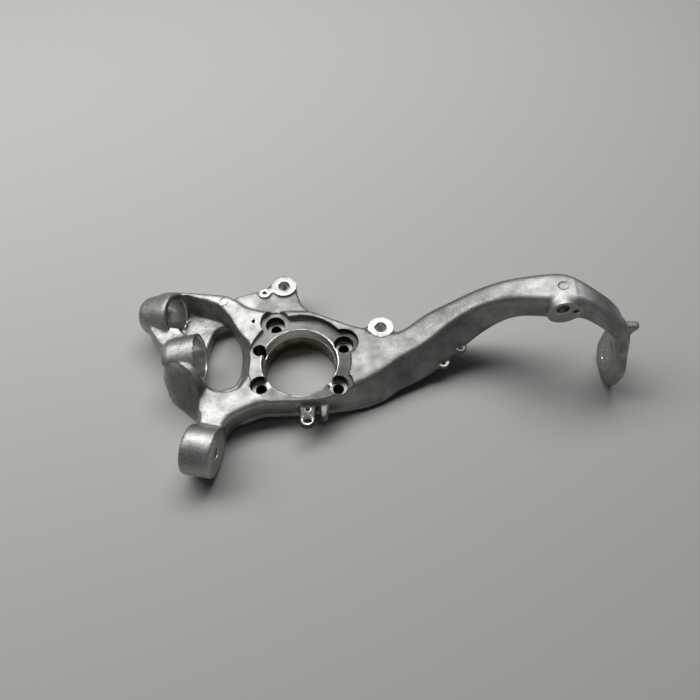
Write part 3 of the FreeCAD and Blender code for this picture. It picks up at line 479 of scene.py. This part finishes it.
# The thread of the bracket tab's larger hole, M12 with a pitch of 1.75. It is tapped into the
# drilled hole, so it is the casting's own aluminium, bright where the tap cut it.
def thread(name, centre, major, minor, pitch, low, high):
    """Closed ribbon that winds up a hole's wall, a triangular ridge of one pitch.

    At the turn angle a the ridge's middle is at z = low + pitch a / 2 pi, its crest at the
    minor radius and its two feet 0.45 pitch above and below on the major radius.
    """
    around = 48
    steps = int(round((high - low) / pitch * around))
    a = np.linspace(0, 2 * math.pi * (high - low) / pitch, steps + 1)
    middle = low + pitch * a / (2 * math.pi)
    ring = []
    for radius, rise in ((major + 0.1, -0.45 * pitch), (minor, -0.06 * pitch),
                         (minor, 0.06 * pitch), (major + 0.1, 0.45 * pitch)):
        ring.append(np.stack([centre[0] + radius * np.cos(a), centre[1] + radius * np.sin(a),
                              np.clip(middle + rise, low, high)], 1))
    points = np.stack(ring, 1).reshape(-1, 3) / 1000
    here = np.arange(4 * steps).reshape(steps, 4)
    there = np.roll(here, -1, 1)
    walls = np.stack([here, there, there + 4, here + 4], 2).reshape(-1, 4)
    ends = np.array([(3, 2, 1, 0), (0, 1, 2, 3)])
    ends[1] += 4 * steps
    data = bpy.data.meshes.new(name)
    data.from_pydata(points.tolist(), [], np.vstack([walls, ends]).tolist())
    thing = bpy.data.objects.new(name, data)
    bpy.context.scene.collection.objects.link(thing)
    return thing


tab_thread = thread("tab_thread", (12.0, -74.0), 6.0, 5.1, 1.75, 21.2, 29.7)
tab_thread.data.materials.append(bored)
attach(tab_thread, "root")


# The floor: plain and pale, large enough to fill the view.
FLOOR_HALF = 6.0          # m from its middle to its side
FLOOR_DROP = 0.0004       # m below the part, so that no two faces coincide
floor_data = bpy.data.meshes.new("floor")
corners = [(x * FLOOR_HALF, y * FLOOR_HALF, -FLOOR_DROP)
           for x, y in ((-1, -1), (1, -1), (1, 1), (-1, 1))]
floor_data.from_pydata(corners, [], [(0, 1, 2, 3)])
floor = bpy.data.objects.new("floor", floor_data)
bpy.context.scene.collection.objects.link(floor)
plain = bpy.data.materials.new("plain_floor")
plain.use_nodes = True
shader = plain.node_tree.nodes["Principled BSDF"]
shader.inputs["Base Color"].default_value = linear("#c2c1be")
shader.inputs["Roughness"].default_value = 0.9
floor_data.materials.append(plain)


# Light: one large soft lamp high behind the caliper side, as an open sky there would give, a
# weaker one from the left, and a dim sky that is darker on the near side. The view and the
# metal's reflections see the sky as a pale even backdrop.
def lamp(name, place, target, width, height, power):
    """A rectangular soft lamp at a place, turned to a target."""
    data = bpy.data.lights.new(name, "AREA")
    data.shape = "RECTANGLE"
    data.size = width
    data.size_y = height
    data.energy = power
    thing = bpy.data.objects.new(name, data)
    bpy.context.scene.collection.objects.link(thing)
    back = np.array(place, float) - np.array(target, float)
    thing.location = place
    thing.rotation_euler = (math.atan2(math.hypot(back[0], back[1]), back[2]), 0.0,
                            math.atan2(back[0], -back[1]))


lamp("sky_window", (-0.16, 1.02, 1.8), (0.06, 0.0, 0.03), 2.3, 0.85, 35.0)
lamp("sky_gap", (-1.3, 0.45, 1.3), (-0.12, 0.0, 0.04), 0.8, 0.8, 8.0)

NEAR_SKY, FAR_SKY, BACKDROP = 0.01, 0.14, 0.22        # strengths, 1 is white
world = bpy.data.worlds.new("sky")
bpy.context.scene.world = world
world.use_nodes = True
tree = world.node_tree
background = tree.nodes["Background"]
background.inputs["Color"].default_value = linear("#e6e8ea")
toward = add(tree, "ShaderNodeTexCoord").outputs["Generated"]
apart = add(tree, "ShaderNodeSeparateXYZ", {"Vector": toward})
sky = add(tree, "ShaderNodeMapRange", {"Value": apart.outputs["Y"]},
          From_Min=-0.1, From_Max=1.0, To_Min=NEAR_SKY, To_Max=FAR_SKY)
paths = add(tree, "ShaderNodeLightPath")
seen = add(tree, "ShaderNodeMath", {0: paths.outputs["Is Camera Ray"],
                                    1: paths.outputs["Is Glossy Ray"]}, operation="MAXIMUM")
backdrop = add(tree, "ShaderNodeMath", {0: seen.outputs[0], 1: BACKDROP}, operation="MULTIPLY")
strength = add(tree, "ShaderNodeMath", {0: sky.outputs["Result"], 1: backdrop.outputs[0]},
               operation="MAXIMUM")
tree.links.new(strength.outputs[0], background.inputs["Strength"])
bpy.context.scene.view_settings.view_transform = "Standard"
